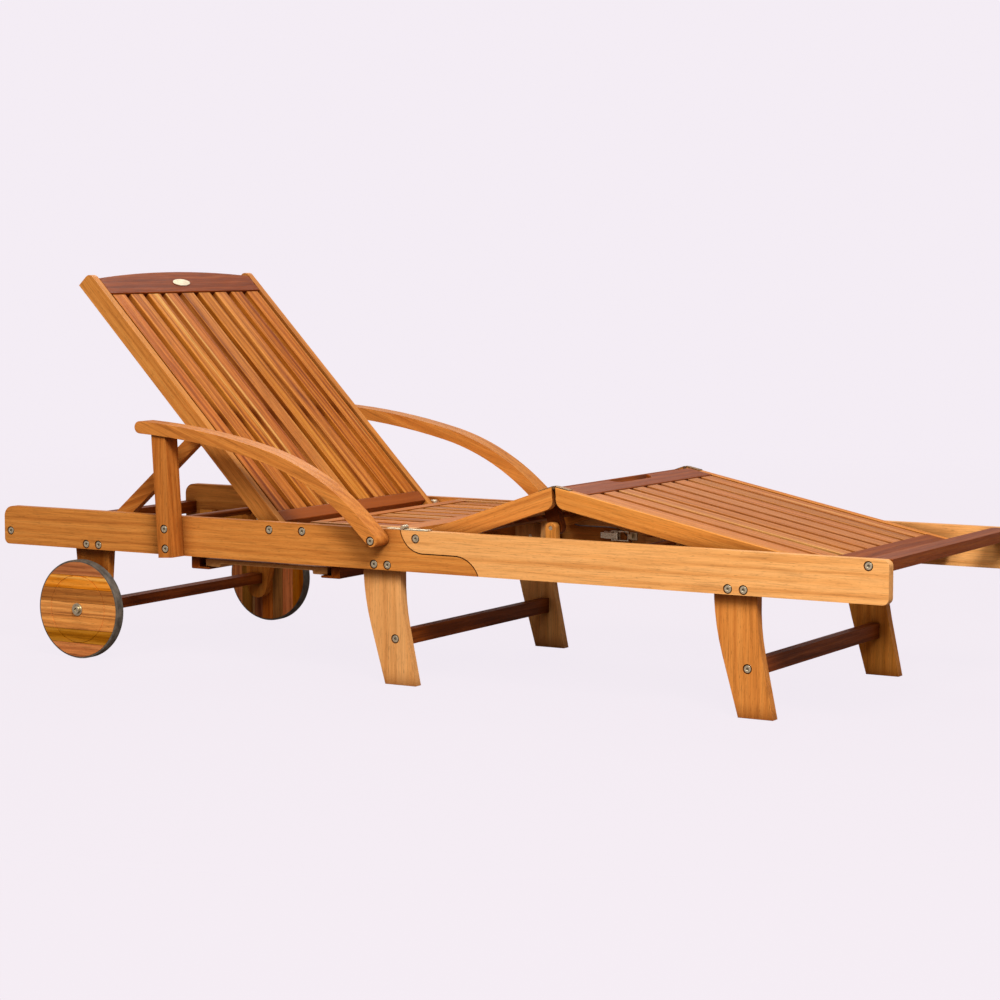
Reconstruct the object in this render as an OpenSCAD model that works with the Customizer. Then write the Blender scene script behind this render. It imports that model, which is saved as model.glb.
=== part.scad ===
// Reclining wooden sun lounger on two wheels, with a raised knee and armrests.
// The head end is towards -X, the foot end towards +X, and Z = 0 is the ground.
// "Left" and "right" are those of a person who lies on it: left is +Y.

/* [Frame] */
// Length of the side frames, head to foot
frame_len = 2000; // [1900:10:2100]
// Width over the outer faces of the rails
frame_w = 650; // [620:1:680]
// Height of the top of the rails
rail_top = 306; // [300:1:330]
// Height of a rail board
rail_h = 80; // [78:1:84]
// Thickness of rails and legs
board_t = 20; // [18:1:21]
// Width of a leg where it leaves the rail
leg_w = 87; // [80:1:90]

/* [Backrest] */
// Angle of the backrest above the horizontal as stored
back_angle = 46; // [46:1:46]
// Length of the backrest above its pivot
back_len = 697; // [680:1:700]
// Depth of a panel stile
stile_d = 38; // [34:1:40]
// Thickness of a panel stile
stile_t = 18; // [16:1:18]

/* [Knee] */
// Angle of the thigh panel above the horizontal as stored
thigh_angle = 19.2; // [15:0.1:20]
// Angle of the calf panel below the horizontal as stored
calf_angle = 11.7; // [11:0.1:12.5]
// Distance from the thigh pivot to the knee hinge
thigh_len = 300; // [290:1:302]
// Length of the calf panel below the knee hinge
calf_len = 590; // [560:1:600]

/* [Slats] */
// Number of slats across each panel
slat_n = 9; // [7:1:9]
// Width of a slat
slat_w = 41; // [40:1:45]
// Spacing of the slats, centre to centre
slat_pitch = 59; // [56:1:60]
// Thickness of a slat
slat_t = 12; // [10:1:13]

/* [Wheels] */
// Diameter over the tyre
wheel_d = 205; // [200:1:206]
// Width of a wheel
wheel_t = 24; // [20:1:25]

/* [Hidden] */
$fn = 48;

// Colours
honey = [0.84, 0.58, 0.32];
amber = [0.75, 0.46, 0.21];
russet = [0.52, 0.27, 0.14];
umber = [0.36, 0.17, 0.08];
zinc = [0.72, 0.70, 0.64];
brass = [0.72, 0.60, 0.34];
rubber = [0.16, 0.16, 0.16];

// Main planes
half_l = frame_len / 2;
rail_bot = rail_top - rail_h;
out_y = frame_w / 2;
in_y = out_y - board_t;
leg_y = in_y - board_t;
panel_y = leg_y - 2;
stile_y = panel_y - stile_t;
side_gap = 0.4;

// Bolts: shank, head and the recess for the head
bolt_r = 4;
fit_gap = 0.05;
head_r = 7;
head_h = 4;
recess_r = 9;
recess_h = 5;

// Scarf joint between the rear and front rails
seam_gap = 2.2;
seam_x1 = 42;
seam_x2 = 113;
seam_rise = 8;
seam_depth = 45;
seam_r1 = seam_depth + seam_rise;
seam_r2 = 55;

// Fold hinge on top of the rails
fold_x = -6;
leaf_t = 2;
knuckle_r = 4.4;
fold_z = rail_top + knuckle_r + 0.2;
leaf_w = 18;
screw_r = 3;
rear_leaf_len = 38;
front_leaf_len = 58;
pin_r = 2;

// Legs
leg_top = 262;
leg_bend_top = 240;
leg_bend_r = 465;
leg_lean = 16;
leg_foot_w = 70;
middle_leg_x = -108;
front_leg_x = 652;
leg_bolt_z = 236;
leg_bolts = [37, 68];
stretcher_h = 30;
stretcher_t = 20;
stretcher_z = 90;
middle_stretcher_x = -35;
front_stretcher_x = 720;

// Wheels and their legs
wheel_x = -786;
wheel_r = wheel_d / 2;
tyre_t = 4;
wheel_in_y = out_y + 1;
wheel_out_y = wheel_in_y + wheel_t;
axle_r = 6;
wheel_leg_x0 = -825;
wheel_leg_x1 = -737;
wheel_leg_foot_r = 25;
wheel_leg_foot_z = 82;
wheel_leg_bolts = [-782, -750];
axle_bar_h = 22;
axle_bar_w = 30;
washer_r = 13;
washer_t = 2;

// Cross bars at the two ends
head_bar_x = -984;
head_bar_w = 30;
head_bar_h = 26;
head_bar_z = 254;
foot_rail_x = 977;
foot_rail_w = 43;
foot_rail_h = 21;
foot_bolt_x = 961;

// Armrests and their posts
post_x = -545.5;
post_w = 35;
post_d = 40;
post_lean = 3.5;
post_bolt_z = [283, 243];
arm_w = 45;
arm_t = 25;
arm_start = [-604, 487];
arm_head0 = -3;
arm_head1 = -14;
arm_head2 = -44;
arm_r1 = 1563;
arm_r2 = 515;
arm_tail = 38;
arm_bolt = [-50, 286];

// Seat panel, level with the rails
seat_x0 = -248;
seat_x1 = -4;
seat_rear_w = 28;
seat_front_w = 50;
rail_t = 22;
seat_bolt_x = -240;
block_x = -34;
block_w = 32;
slat_drop = 2;

// Backrest frame, measured along it (s) and square to it (n) from its pivot
back_pivot = [-319, 290];
back_front = 7;
back_rear = back_front - stile_d;
back_tail = -16;
crest_end = 682;
crest_low = 637;
crest_t = 20;
bottom_s0 = 10;
bottom_s1 = 38;
batten_s = 290;
batten_w = 36;
badge_s = 664;
badge_w = 58;
badge_h = 19;

// Props: struts that swing on cleats, with a bar across their feet
prop_w = 28;
prop_t = 18;
prop_y = stile_y - 2;
cleat_w = 18;
cleat_gap = 2;
cleat_r = 14;
pin_inset = 1;
bar_r = 8;

// Backrest prop. Its bar rides just over notched racks on the rails, with their notches at rack_angles
prop_s = 280;
prop_n = -50;
prop_len = 300;
bar_z = 260;
rack_spans = [[-945, wheel_leg_x0 - side_gap], [wheel_leg_x1 + side_gap, -655]];
rack_top = 249.8;
rack_notch = 6;
rack_notch_r = bar_r + 1;
rack_angles = [8, 17, 26, 36, 46, 56];

// Knee prop, upright as stored. Its bar ends beside the racks on the front rails
knee_prop_s = 258;
knee_prop_n = -59;
knee_prop_w = 22;
knee_prop_len = 75;
knee_bar_end = panel_y;
knee_rack_x = [205, 320];
knee_rack_pitch = 32;

// Thigh and calf panels
thigh_pivot = [24.5, 290.5];
thigh_top = 12;
thigh_tail = -15;
knee_r = 3;
knee_rise = -2;
end_gap = 3;
end_lean = 0.3;
end_round = 20;
thigh_low_w = 30;
thigh_high_w = 38;
calf_top_w = 56;
calf_bottom_w = 44;
grip_w = 160;
grip_d = 20;
knee_leaf_l = 30;
knee_leaf_w = 15;
knee_leaf_t = 1.5;

// Tray that pulls out sideways from under the seat
tray_x0 = -494;
tray_x1 = -196;
runner_w = 20;
runner_clear = 13;
runner_z0 = 199;
runner_ledge = 5;
tray_batten_w = 36;
tray_batten_h = 16;
tray_t = 9;
tray_len = 600;

// Draw latches on the inner faces of the rails
latch_z = 246;
latch_x = 98;
latch_h = 16;
latch_plate_t = 2;
latch_plate_l = 38;
latch_pivot_x = 131;
latch_pivot_out = 8;
lever_l = 36;
lever_t = 3;
bail_back = 12;
bail_wire = 2;
bail_end = 157;
strike_x = 159;
strike_l = 17;
hook_x = 160;

function arc(cx, cy, r, a0, a1, n = 10) =
    [for (i = [0:n]) [cx + r * cos(a0 + (a1 - a0) * i / n), cy + r * sin(a0 + (a1 - a0) * i / n)]];

// Backrest directions: up along the panel and out of its front face
function back_u(a) = [-cos(a), sin(a)];
function back_n(a) = [sin(a), cos(a)];
function back_at(a, s, n) = back_pivot + s * back_u(a) + n * back_n(a);

// Where the prop's bar lies along the rack when the backrest stands at angle a
function prop_drop(a) = asin((back_at(a, prop_s, prop_n)[1] - bar_z) / prop_len);
function bar_x(a) = back_at(a, prop_s, prop_n)[0] - prop_len * cos(prop_drop(a));

// A point of the thigh panel, s along it and n square to it from its pivot, and the knee hinge's axis
function thigh_at(s, n) = thigh_pivot + [s * cos(thigh_angle) - n * sin(thigh_angle),
                                         s * sin(thigh_angle) + n * cos(thigh_angle)];
knee_s = thigh_len;
knee_n = thigh_top + knee_rise;
knee = thigh_at(knee_s, knee_n);

// An outline in X and Z, made solid from y0 to y1
module upright(y0, y1) {
    rotate([90, 0, 0]) translate([0, 0, -y1]) linear_extrude(y1 - y0) children();
}

module both_sides() {
    children();
    mirror([0, 1, 0]) children();
}

// A hole or a shank along Y at [x, z]
module across(p, r, y0, y1) {
    translate([p[0], y0, p[1]]) rotate([-90, 0, 0]) cylinder(h = y1 - y0, r = r);
}

// The hole that a bolt needs: a clearance bore, and a recess for its head below the face at y_face
module bolt_hole(p, y_face, y_end) {
    across(p, bolt_r + fit_gap, y_end, y_face + 1);
    across(p, recess_r, y_face - recess_h, y_face + 1);
}

// A socket-head bolt whose head lies in its recess
module bolt(p, y_face, y_end) {
    head_y = y_face - recess_h;
    difference() {
        union() {
            across(p, bolt_r, y_end, head_y + 0.5);
            across(p, head_r, head_y, head_y + head_h);
        }
        translate([p[0], head_y + 1.5, p[1]]) rotate([-90, 30, 0]) cylinder(h = head_h, r = 3, $fn = 6);
    }
}

// A pivot is a bolt through rail and stile with a tube spacer between them
module pivot(p) {
    bolt(p, out_y, stile_y);
    difference() {
        across(p, 11, panel_y + side_gap, in_y);
        across(p, bolt_r + fit_gap, panel_y, in_y + 1);
    }
}

// Curve of the scarf joint, from the top of the rail to its underside
function seam(g) = concat(
    arc(seam_x1, rail_top + seam_rise, seam_r1 - g, 180 + asin(seam_rise / (seam_r1 - g)), 270, 14),
    arc(seam_x2, rail_top - seam_depth - seam_r2, seam_r2 + g, 90,
        asin((seam_depth + seam_r2 - rail_h) / (seam_r2 + g)), 12));

// A bolt on the middle of an arm post, which leans towards the head
function post_bolt(z) = [post_x - (z - rail_bot) * tan(post_lean), z];

// ---- Rear frame ----

rear_bolt_holes = [[head_bar_x, head_bar_z],
    [wheel_leg_bolts[0], leg_bolt_z], [wheel_leg_bolts[1], leg_bolt_z],
    [middle_leg_x + leg_bolts[0], leg_bolt_z], [middle_leg_x + leg_bolts[1], leg_bolt_z],
    [seat_bolt_x, rail_top - 15], back_pivot];
rear_bolt_ends = [panel_y - 40, leg_y, leg_y, leg_y, leg_y, panel_y - 50, stile_y];

module rear_rail() {
    difference() {
        upright(in_y, out_y) polygon(concat(seam(0),
            arc(-half_l + 12, rail_bot + 12, 12, 270, 180),
            arc(-half_l + 22, rail_top - 22, 22, 180, 90)));
        for (p = rear_bolt_holes) bolt_hole(p, out_y, in_y - 1);
        for (z = post_bolt_z) across(post_bolt(z), bolt_r + fit_gap, in_y - 1, out_y + 1);
        across(arm_bolt, bolt_r + fit_gap, in_y - 1, out_y + 1);
    }
}
module rear_rail_left() color(amber) rear_rail();
module rear_rail_right() color(amber) mirror([0, 1, 0]) rear_rail();

module head_cross_bar() {
    color(russet) difference() {
        translate([head_bar_x - head_bar_w / 2, -in_y, head_bar_z - head_bar_h / 2])
            cube([head_bar_w, 2 * in_y, head_bar_h]);
        both_sides() across([head_bar_x, head_bar_z], bolt_r + fit_gap, panel_y - 40, in_y + 1);
    }
}

// Left edge of a swept leg at height z, from its top corner
function leg_edge(z) = let (d = leg_bend_top - z, dm = leg_bend_r * sin(leg_lean))
    d < 0 ? 0 : d < dm ? leg_bend_r - sqrt(leg_bend_r * leg_bend_r - d * d)
    : leg_bend_r * (1 - cos(leg_lean)) + (d - dm) * tan(leg_lean);
function leg_width(z) = leg_foot_w + (leg_w - leg_foot_w) * min(z, rail_bot) / rail_bot;

module swept_leg(x, stretcher_x) {
    steps = [leg_top, leg_bend_top, 215, 190, 165, 140, 112, 60, 0];
    difference() {
        upright(leg_y, in_y) polygon(concat(
            [for (z = steps) [x + leg_edge(z), z]],
            [for (i = [len(steps) - 1:-1:0]) [x + leg_edge(steps[i]) + leg_width(steps[i]), steps[i]]]));
        for (b = leg_bolts) across([x + b, leg_bolt_z], bolt_r + fit_gap, leg_y - 1, in_y + 1);
        bolt_hole([stretcher_x, stretcher_z], in_y, leg_y - 1);
    }
}
module middle_legs() color(honey) both_sides() swept_leg(middle_leg_x, middle_stretcher_x);

module stretcher(x) {
    difference() {
        translate([x - stretcher_t / 2, -leg_y, stretcher_z - stretcher_h / 2])
            cube([stretcher_t, 2 * leg_y, stretcher_h]);
        both_sides() across([x, stretcher_z], bolt_r + fit_gap, leg_y - 40, leg_y + 1);
    }
}
module middle_stretcher() color(umber) stretcher(middle_stretcher_x);

module wheel_legs() {
    color(amber) both_sides() difference() {
        upright(leg_y, in_y) polygon(concat(
            [[wheel_leg_x0, rack_top], [wheel_leg_x0, rail_bot]],
            arc(wheel_x, wheel_leg_foot_z, wheel_leg_foot_r, 185, 350, 14),
            [[wheel_leg_x1 - 5, 163], [wheel_leg_x1, rail_bot], [wheel_leg_x1, rack_top]]));
        rack_notches();
        for (x = wheel_leg_bolts) across([x, leg_bolt_z], bolt_r + fit_gap, leg_y - 1, in_y + 1);
        across([wheel_x, wheel_r], axle_r + fit_gap, leg_y - 1, in_y + 1);
    }
}
module axle_bar() {
    color(umber) difference() {
        translate([wheel_x - axle_bar_w / 2, -leg_y, wheel_r - axle_bar_h / 2])
            cube([axle_bar_w, 2 * leg_y, axle_bar_h]);
        both_sides() across([wheel_x, wheel_r], axle_r + fit_gap, leg_y - 60, leg_y + 1);
    }
}
// Each axle is a long bolt through the wheel, with a tube spacer and an outer washer
module axle_bolts() {
    p = [wheel_x, wheel_r];
    color(zinc) both_sides() {
        across(p, axle_r, leg_y - 59, wheel_out_y + side_gap + washer_t);
        difference() {
            across(p, 12, in_y, wheel_in_y - side_gap);
            across(p, axle_r + fit_gap, in_y - 1, wheel_in_y);
        }
        difference() {
            across(p, washer_r, wheel_out_y + side_gap, wheel_out_y + side_gap + washer_t);
            across(p, axle_r + fit_gap, wheel_out_y, wheel_out_y + side_gap + washer_t + 1);
        }
        difference() {
            across(p, head_r + 1, wheel_out_y + side_gap + washer_t, wheel_out_y + side_gap + washer_t + 5);
            translate([p[0], wheel_out_y + side_gap + washer_t + 2, p[1]])
                rotate([-90, 0, 0]) cylinder(h = 5, r = 4, $fn = 6);
        }
    }
}

// Armrest: a centre line of two arcs and a straight, thickened both ways
arm_c1 = arm_start + arm_r1 * [sin(arm_head0), -cos(arm_head0)];
arm_p1 = arm_c1 + arm_r1 * [-sin(arm_head1), cos(arm_head1)];
arm_c2 = arm_p1 + arm_r2 * [sin(arm_head1), -cos(arm_head1)];
arm_p2 = arm_c2 + arm_r2 * [-sin(arm_head2), cos(arm_head2)];
arm_end = arm_p2 + arm_tail * [cos(arm_head2), sin(arm_head2)];
function arm_edge(o) = concat(
    arc(arm_c1[0], arm_c1[1], arm_r1 + o, 90 + arm_head0, 90 + arm_head1, 8),
    arc(arm_c2[0], arm_c2[1], arm_r2 + o, 90 + arm_head1, 90 + arm_head2, 12));
function reversed(v) = [for (i = [len(v) - 1:-1:0]) v[i]];
arm_y0 = out_y + side_gap;

module armrest() {
    h = arm_t / 2;
    difference() {
        upright(arm_y0, arm_y0 + arm_w) polygon(concat(arm_edge(h),
            arc(arm_end[0], arm_end[1], h, 90 + arm_head2, arm_head2 - 90, 10),
            reversed(arm_edge(-h)),
            arc(arm_start[0], arm_start[1], h, 270 + arm_head0, 90 + arm_head0, 10)));
        bolt_hole(arm_bolt, arm_y0 + arm_w, out_y - 1);
    }
}
module armrest_left() color(honey) armrest();
module armrest_right() color(honey) mirror([0, 1, 0]) armrest();

module arm_posts() {
    color(amber) both_sides() difference() {
        translate([post_x, arm_y0, rail_bot - 1]) rotate([0, -post_lean, 0])
            translate([-post_w / 2, 0, 0]) cube([post_w, post_d, 260]);
        upright(out_y, out_y + arm_w) polygon(concat(arm_edge(-arm_t / 2), [[0, 600], [-700, 600]]));
        for (z = post_bolt_z) bolt_hole(post_bolt(z), arm_y0 + post_d, out_y - 1);
    }
}

module rack_notches() {
    for (a = rack_angles)
        across([bar_x(a), rack_top + rack_notch_r - rack_notch], rack_notch_r, leg_y - 1, in_y + 1);
}
// The racks lie on each side of the wheel leg, whose top carries the same notches
module back_racks() {
    color(amber) both_sides() difference() {
        for (s = rack_spans) translate([s[0], leg_y, rail_bot])
            cube([s[1] - s[0], board_t, rack_top - rail_bot]);
        rack_notches();
    }
}

// Slats side by side between x0 and x1, their tops at z = 0
module slats(x0, x1) {
    for (i = [0:slat_n - 1])
        translate([x0, (i - (slat_n - 1) / 2) * slat_pitch - slat_w / 2, -slat_t])
            cube([x1 - x0, slat_w, slat_t]);
}

module seat_stiles() {
    color(honey) both_sides() difference() {
        translate([seat_x0, stile_y, rail_top - stile_d]) cube([seat_x1 - seat_x0, stile_t, stile_d]);
        across([seat_bolt_x, rail_top - 15], bolt_r + fit_gap, stile_y - 1, panel_y + 1);
    }
}
module seat_rails() {
    color(amber) difference() {
        union() {
            translate([seat_x0, -stile_y, rail_top - rail_t]) cube([seat_rear_w, 2 * stile_y, rail_t]);
            translate([seat_x1 - seat_front_w, -stile_y, rail_top - rail_t])
                cube([seat_front_w, 2 * stile_y, rail_t]);
        }
        both_sides() across([seat_bolt_x, rail_top - 15], bolt_r + fit_gap, panel_y - 50, stile_y + 1);
    }
}
module seat_slats() {
    color(russet) translate([0, 0, rail_top - slat_drop])
        slats(seat_x0 + seat_rear_w, seat_x1 - seat_front_w);
}
// Blocks that carry the corners of the seat panel between rails and legs
module seat_corner_blocks() {
    color(honey) both_sides() {
        translate([block_x, leg_y - stile_t - 2, rail_bot])
            cube([block_w, stile_t + 2, rail_h - stile_d]);
        difference() {
            translate([seat_x0, panel_y, rail_top - stile_d]) cube([24, in_y - panel_y, stile_d - 2]);
            across([seat_bolt_x, rail_top - 15], bolt_r + fit_gap, panel_y - 1, in_y + 1);
        }
    }
}

module tray_runner() {
    x0 = tray_x0 - runner_w - runner_clear + 1;
    translate([x0, -in_y, runner_z0]) cube([runner_w, 2 * in_y, rail_bot - runner_z0]);
    translate([x0 + runner_w, -in_y, runner_z0]) cube([runner_clear + 12, 2 * in_y, runner_ledge]);
}
module tray_runners() {
    mid = (tray_x0 + tray_x1) / 2;
    color(russet) union() {
        tray_runner();
        translate([mid, 0, 0]) mirror([1, 0, 0]) translate([-mid, 0, 0]) tray_runner();
    }
}

module rear_bolts() {
    color(zinc) both_sides() {
        for (i = [0:len(rear_bolt_holes) - 2]) bolt(rear_bolt_holes[i], out_y, rear_bolt_ends[i]);
        bolt([middle_stretcher_x, stretcher_z], in_y, leg_y - 39);
        for (z = post_bolt_z) bolt(post_bolt(z), arm_y0 + post_d, in_y);
        bolt(arm_bolt, arm_y0 + arm_w, in_y);
        pivot(back_pivot);
    }
}

// One leaf of a fold hinge on the left rail, pointing to dir, with its knuckles at the given places
module fold_leaf(dir, leaf_len, knuckles) {
    mid = (in_y + out_y) / 2;
    screws = [for (i = [0:2]) 11 + i * (leaf_len - 17) / 2];
    difference() {
        union() {
            translate([fold_x + (dir > 0 ? knuckle_r + 0.4 : -leaf_len), mid - leaf_w / 2, rail_top])
                cube([leaf_len - knuckle_r - 0.4, leaf_w, leaf_t]);
            for (k = knuckles) {
                across([fold_x, fold_z], knuckle_r, mid + k - 2.9, mid + k + 2.9);
                translate([fold_x + (dir > 0 ? 2.5 : -5.5), mid + k - 2.9, rail_top])
                    cube([3, 5.8, leaf_t]);
            }
        }
        across([fold_x, fold_z], pin_r + fit_gap, mid - leaf_w, mid + leaf_w);
        for (d = screws) translate([fold_x + dir * d, mid, rail_top + 0.8])
            cylinder(h = 3, r = screw_r + 0.1);
    }
    for (d = screws) translate([fold_x + dir * d, mid, rail_top + 0.8]) cylinder(h = 0.9, r = screw_r);
}
module fold_hinge_rear_leaves() {
    color(brass) both_sides() {
        fold_leaf(-1, rear_leaf_len, [-6, 6]);
        across([fold_x, fold_z], pin_r, (in_y + out_y) / 2 - 9.5, (in_y + out_y) / 2 + 9.5);
    }
}

// ---- Draw latches ----

// The base plate and the two ears that hold the lever
module latch_base() {
    translate([latch_x, in_y - latch_plate_t, latch_z - latch_h / 2])
        cube([latch_plate_l, latch_plate_t, latch_h]);
    for (z = [latch_z - latch_h / 2, latch_z + latch_h / 2 - 1.5])
        translate([latch_pivot_x - 4, in_y - latch_pivot_out - 4, z]) cube([8, latch_pivot_out + 3, 1.5]);
    translate([latch_pivot_x, in_y - latch_pivot_out, latch_z - latch_h / 2])
        cylinder(h = latch_h, r = 1.5);
}
module latch_bases() color(zinc) both_sides() latch_base();

bail_x = latch_pivot_x - bail_back;
bail_y = in_y - latch_pivot_out + 1.5;

module latch_lever() {
    h = latch_h - 4;
    difference() {
        union() {
            translate([latch_pivot_x - lever_l, in_y - latch_pivot_out - 4, latch_z - h / 2])
                cube([lever_l, lever_t, h]);
            translate([latch_pivot_x, in_y - latch_pivot_out, latch_z - h / 2]) cylinder(h = h, r = 3.4);
            translate([bail_x, bail_y, latch_z - h / 2]) cylinder(h = h, r = 3.4);
        }
        translate([latch_pivot_x, in_y - latch_pivot_out, latch_z - h])
            cylinder(h = 2 * h, r = 1.5 + fit_gap);
        translate([bail_x, bail_y, latch_z - h]) cylinder(h = 2 * h, r = 1.5 + fit_gap);
    }
}
module latch_lever_left() color(zinc) latch_lever();
module latch_lever_right() color(zinc) mirror([0, 1, 0]) latch_lever();

// The wire loop that reaches for the strike
module latch_bail() {
    reach = bail_end - bail_x;
    z1 = latch_h / 2 + 2.5;
    translate([bail_x, bail_y, latch_z]) {
        translate([0, 0, -z1]) cylinder(h = 2 * z1, r = bail_wire / 2 + 0.5);
        translate([reach, 0, -z1]) cylinder(h = 2 * z1, r = bail_wire / 2);
        for (z = [-z1, z1 - bail_wire]) translate([0, -bail_wire / 2, z]) cube([reach, bail_wire, bail_wire]);
    }
}
module latch_bail_left() color(zinc) latch_bail();
module latch_bail_right() color(zinc) mirror([0, 1, 0]) latch_bail();

// The strike plate, with a hook that the loop bears on
module latch_strike() {
    translate([strike_x, in_y - latch_plate_t, latch_z - latch_h / 2])
        cube([strike_l, latch_plate_t, latch_h]);
    translate([hook_x, bail_y - 3, latch_z - 5]) cube([3.5, in_y - bail_y + 2, 10]);
    translate([hook_x, bail_y - 5, latch_z - 5]) cube([8, 2.5, 10]);
}
module latch_strikes() color(brass) both_sides() latch_strike();

// ---- Foot frame ----

front_bolt_holes = [[front_leg_x + leg_bolts[0], leg_bolt_z], [front_leg_x + leg_bolts[1], leg_bolt_z],
    [foot_bolt_x, rail_top - foot_rail_h / 2 - 2], thigh_pivot];
front_bolt_ends = [leg_y, leg_y, panel_y - 40, stile_y];

module front_rail() {
    difference() {
        upright(in_y, out_y) polygon(concat(reversed(seam(seam_gap)),
            arc(half_l - 12, rail_top - 12, 12, 90, 0),
            arc(half_l - 12, rail_bot + 12, 12, 0, -90)));
        for (p = front_bolt_holes) bolt_hole(p, out_y, in_y - 1);
    }
}
module front_rail_left() color(honey) front_rail();
module front_rail_right() color(honey) mirror([0, 1, 0]) front_rail();

module foot_cross_rail() {
    color(russet) difference() {
        translate([foot_rail_x - foot_rail_w / 2, -in_y, rail_top - foot_rail_h])
            cube([foot_rail_w, 2 * in_y, foot_rail_h]);
        both_sides() across(front_bolt_holes[2], bolt_r + fit_gap, panel_y - 40, in_y + 1);
    }
}
module front_legs() color(honey) both_sides() swept_leg(front_leg_x, front_stretcher_x);
module front_stretcher() color(umber) stretcher(front_stretcher_x);
module front_bolts() {
    color(zinc) both_sides() {
        for (i = [0:len(front_bolt_holes) - 2]) bolt(front_bolt_holes[i], out_y, front_bolt_ends[i]);
        bolt([front_stretcher_x, stretcher_z], in_y, leg_y - 39);
        pivot(thigh_pivot);
    }
}
module fold_hinge_front_leaves() color(brass) both_sides() fold_leaf(1, front_leaf_len, [0]);

knee_prop_pin = thigh_at(knee_prop_s, knee_prop_n);
knee_prop_foot = knee_prop_pin - [0, knee_prop_len];
knee_rack_top = knee_prop_foot[1] + bar_r / 2;

module knee_racks() {
    notch_r = bar_r + 0.5;
    n = floor((knee_rack_x[1] - knee_rack_x[0]) / knee_rack_pitch / 2);
    color(honey) both_sides() difference() {
        translate([knee_rack_x[0], leg_y, rail_bot])
            cube([knee_rack_x[1] - knee_rack_x[0], board_t, knee_rack_top - rail_bot]);
        for (i = [-n:n]) translate([knee_prop_foot[0] + i * knee_rack_pitch, 0, knee_prop_foot[1]]) {
            across([0, 0], notch_r, leg_y - 1, in_y + 1);
            translate([-notch_r, leg_y - 1, 0]) cube([2 * notch_r, board_t + 2, bar_r]);
        }
    }
}

// ---- Backrest ----

// Turns a panel drawn flat, with X running towards the head, up to the backrest's angle
module on_backrest() {
    translate([back_pivot[0], 0, back_pivot[1]]) rotate([0, back_angle, 0]) children();
}

module back_stiles() {
    color(honey) on_backrest() both_sides() difference() {
        upright(stile_y, panel_y) polygon(concat(
            [[-back_tail, back_front], [-back_tail, -4]],
            arc(-back_tail - 12, back_rear + 12, 12, 0, -90, 6),
            [[-back_len, back_rear], [-back_len, back_front - 12]],
            arc(-back_len + 12, back_front - 12, 12, 180, 90, 6)));
        across([0, 0], bolt_r + fit_gap, stile_y - 1, panel_y + 1);
    }
}

// Half-width over which the crest is arched, and the arch's radius
crest_rise = back_len - crest_end;
crest_arch_r = (stile_y * stile_y + crest_rise * crest_rise) / (2 * crest_rise);

module crest_rail() {
    a = asin(stile_y / crest_arch_r);
    color(russet) on_backrest() translate([0, 0, back_front - crest_t]) linear_extrude(crest_t)
        polygon(concat([[-crest_low, stile_y], [-crest_low, -stile_y]],
            arc(crest_arch_r - back_len, 0, crest_arch_r, 180 + a, 180 - a, 24)));
}
// The rail at the foot of the backrest, and the batten behind its slats
module back_cross_rails() {
    top = back_front - slat_drop - slat_t;
    color(umber) on_backrest() {
        translate([-bottom_s1, -stile_y, back_front - rail_t])
            cube([bottom_s1 - bottom_s0, 2 * stile_y, rail_t]);
        translate([-batten_s - batten_w / 2, -stile_y, back_rear])
            cube([batten_w, 2 * stile_y, top - back_rear]);
    }
}
module back_slats() {
    color(amber) on_backrest() translate([0, 0, back_front - slat_drop]) slats(-crest_low, -bottom_s1);
}
// Plain oval plate on the crest rail
module badge() {
    color(zinc) on_backrest() translate([-badge_s, 0, back_front]) linear_extrude(1.5)
        polygon([for (i = [0:35]) [badge_h / 2 * cos(i * 10), badge_w / 2 * sin(i * 10)]]);
}
// A cleat that hangs below a panel, drawn about its pin, with the panel's underside at z = top
module prop_cleat(top) {
    y1 = prop_y - prop_t - cleat_gap;
    difference() {
        union() {
            translate([-cleat_r, y1 - cleat_w, 0]) cube([2 * cleat_r, cleat_w, top]);
            across([0, 0], cleat_r, y1 - cleat_w, y1);
        }
        across([0, 0], bolt_r + fit_gap, y1 - cleat_w - 1, y1 + 1);
    }
}
// A strut drawn from its pin towards -X
module prop_strut(len, w) {
    difference() {
        upright(prop_y - prop_t, prop_y) polygon(concat(
            arc(0, 0, w / 2, 90, -90, 12), arc(-len, 0, w / 2, 270, 90, 12)));
        across([0, 0], bolt_r + fit_gap, prop_y - prop_t - 1, prop_y + 1);
        across([-len, 0], bar_r + fit_gap, prop_y - prop_t - 1, prop_y + 1);
    }
}
module prop_pin(p) across(p, bolt_r, prop_y - prop_t - cleat_gap - cleat_w, prop_y - pin_inset);

module back_prop_cleats() {
    color(umber) on_backrest() both_sides() translate([-prop_s, 0, prop_n]) prop_cleat(back_rear - prop_n);
}

// ---- Backrest prop ----

back_prop_pin = back_at(back_angle, prop_s, prop_n);
back_prop_foot = [bar_x(back_angle), bar_z];

module back_prop_struts() {
    color(amber) both_sides() translate([back_prop_pin[0], 0, back_prop_pin[1]])
        rotate([0, -prop_drop(back_angle), 0]) prop_strut(prop_len, prop_w);
}
module back_prop_bar() color(russet) across(back_prop_foot, bar_r, 2 - in_y, in_y - 2);
module back_prop_pins() color(zinc) both_sides() prop_pin(back_prop_pin);

// ---- Thigh panel ----

module on_thigh() {
    translate([thigh_pivot[0], 0, thigh_pivot[1]]) rotate([0, -thigh_angle, 0]) children();
}
module on_calf() {
    translate([knee[0], 0, knee[1]]) rotate([0, calf_angle, 0]) children();
}

// End of a stile at the knee, from its top edge down, in X from the knee axis and Z from the top edge
function knee_end(d) = let (x1 = end_gap + end_lean * (d - end_round), x2 = x1 + end_round)
    concat([[end_gap, 0]], arc(x2, end_round - d, end_round, 180, 270, 8));

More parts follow.
